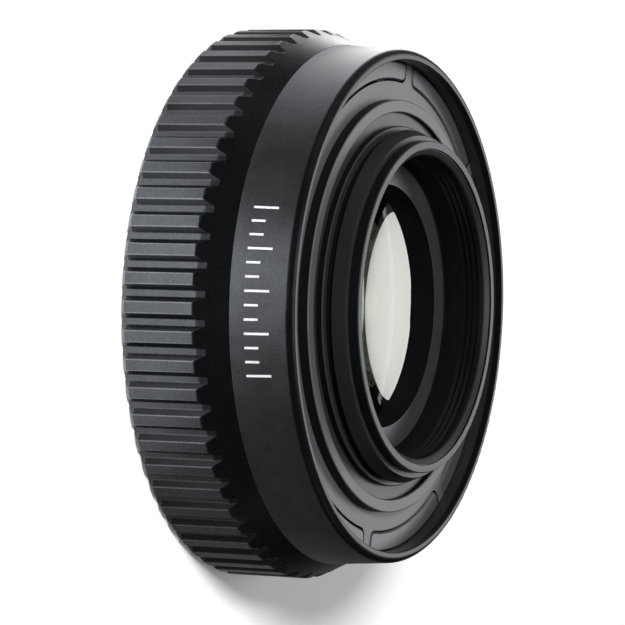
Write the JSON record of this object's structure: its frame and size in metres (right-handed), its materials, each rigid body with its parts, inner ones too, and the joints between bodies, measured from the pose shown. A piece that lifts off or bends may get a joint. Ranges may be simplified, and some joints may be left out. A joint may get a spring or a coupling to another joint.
{
  "type": "wide-angle conversion lens",
  "caption": "Small wide-angle conversion lens with a fluted grip ring, a recessed magnetic mount and a stepped rear tube.",
  "frame": {"origin": "on the optical axis, in the plane of the front rim that the lens stands on", "axes": "+Z along the optical axis from the front glass to the mount side; +X and +Y in the plane of the front rim"},
  "size_m": [0.035, 0.035, 0.0127],
  "materials": {
    "body_metal": "black anodised, satin",
    "steel": "plated",
    "plate_metal": "black anodised, satin",
    "magnet": "black nickel plated",
    "tube_metal": "black anodised, satin",
    "rear_glass": "polished and coated",
    "front_glass": "polished and coated"
  },
  "bodies": {
    "root": {"grip_ring": "body_metal", "barrel": "body_metal", "yoke_ring": "steel", "mount_plate": "plate_metal", "magnet_1": "magnet", "magnet_2": "magnet", "magnet_3": "magnet", "magnet_4": "magnet", "magnet_5": "magnet", "magnet_6": "magnet", "magnet_7": "magnet", "magnet_8": "magnet", "locating_ring": "plate_metal", "mount_tube": "tube_metal", "rear_cell": "tube_metal", "rear_retainer": "tube_metal", "rear_element": "rear_glass", "front_element": "front_glass", "front_retainer": "body_metal"}
  },
  "joints": []
}
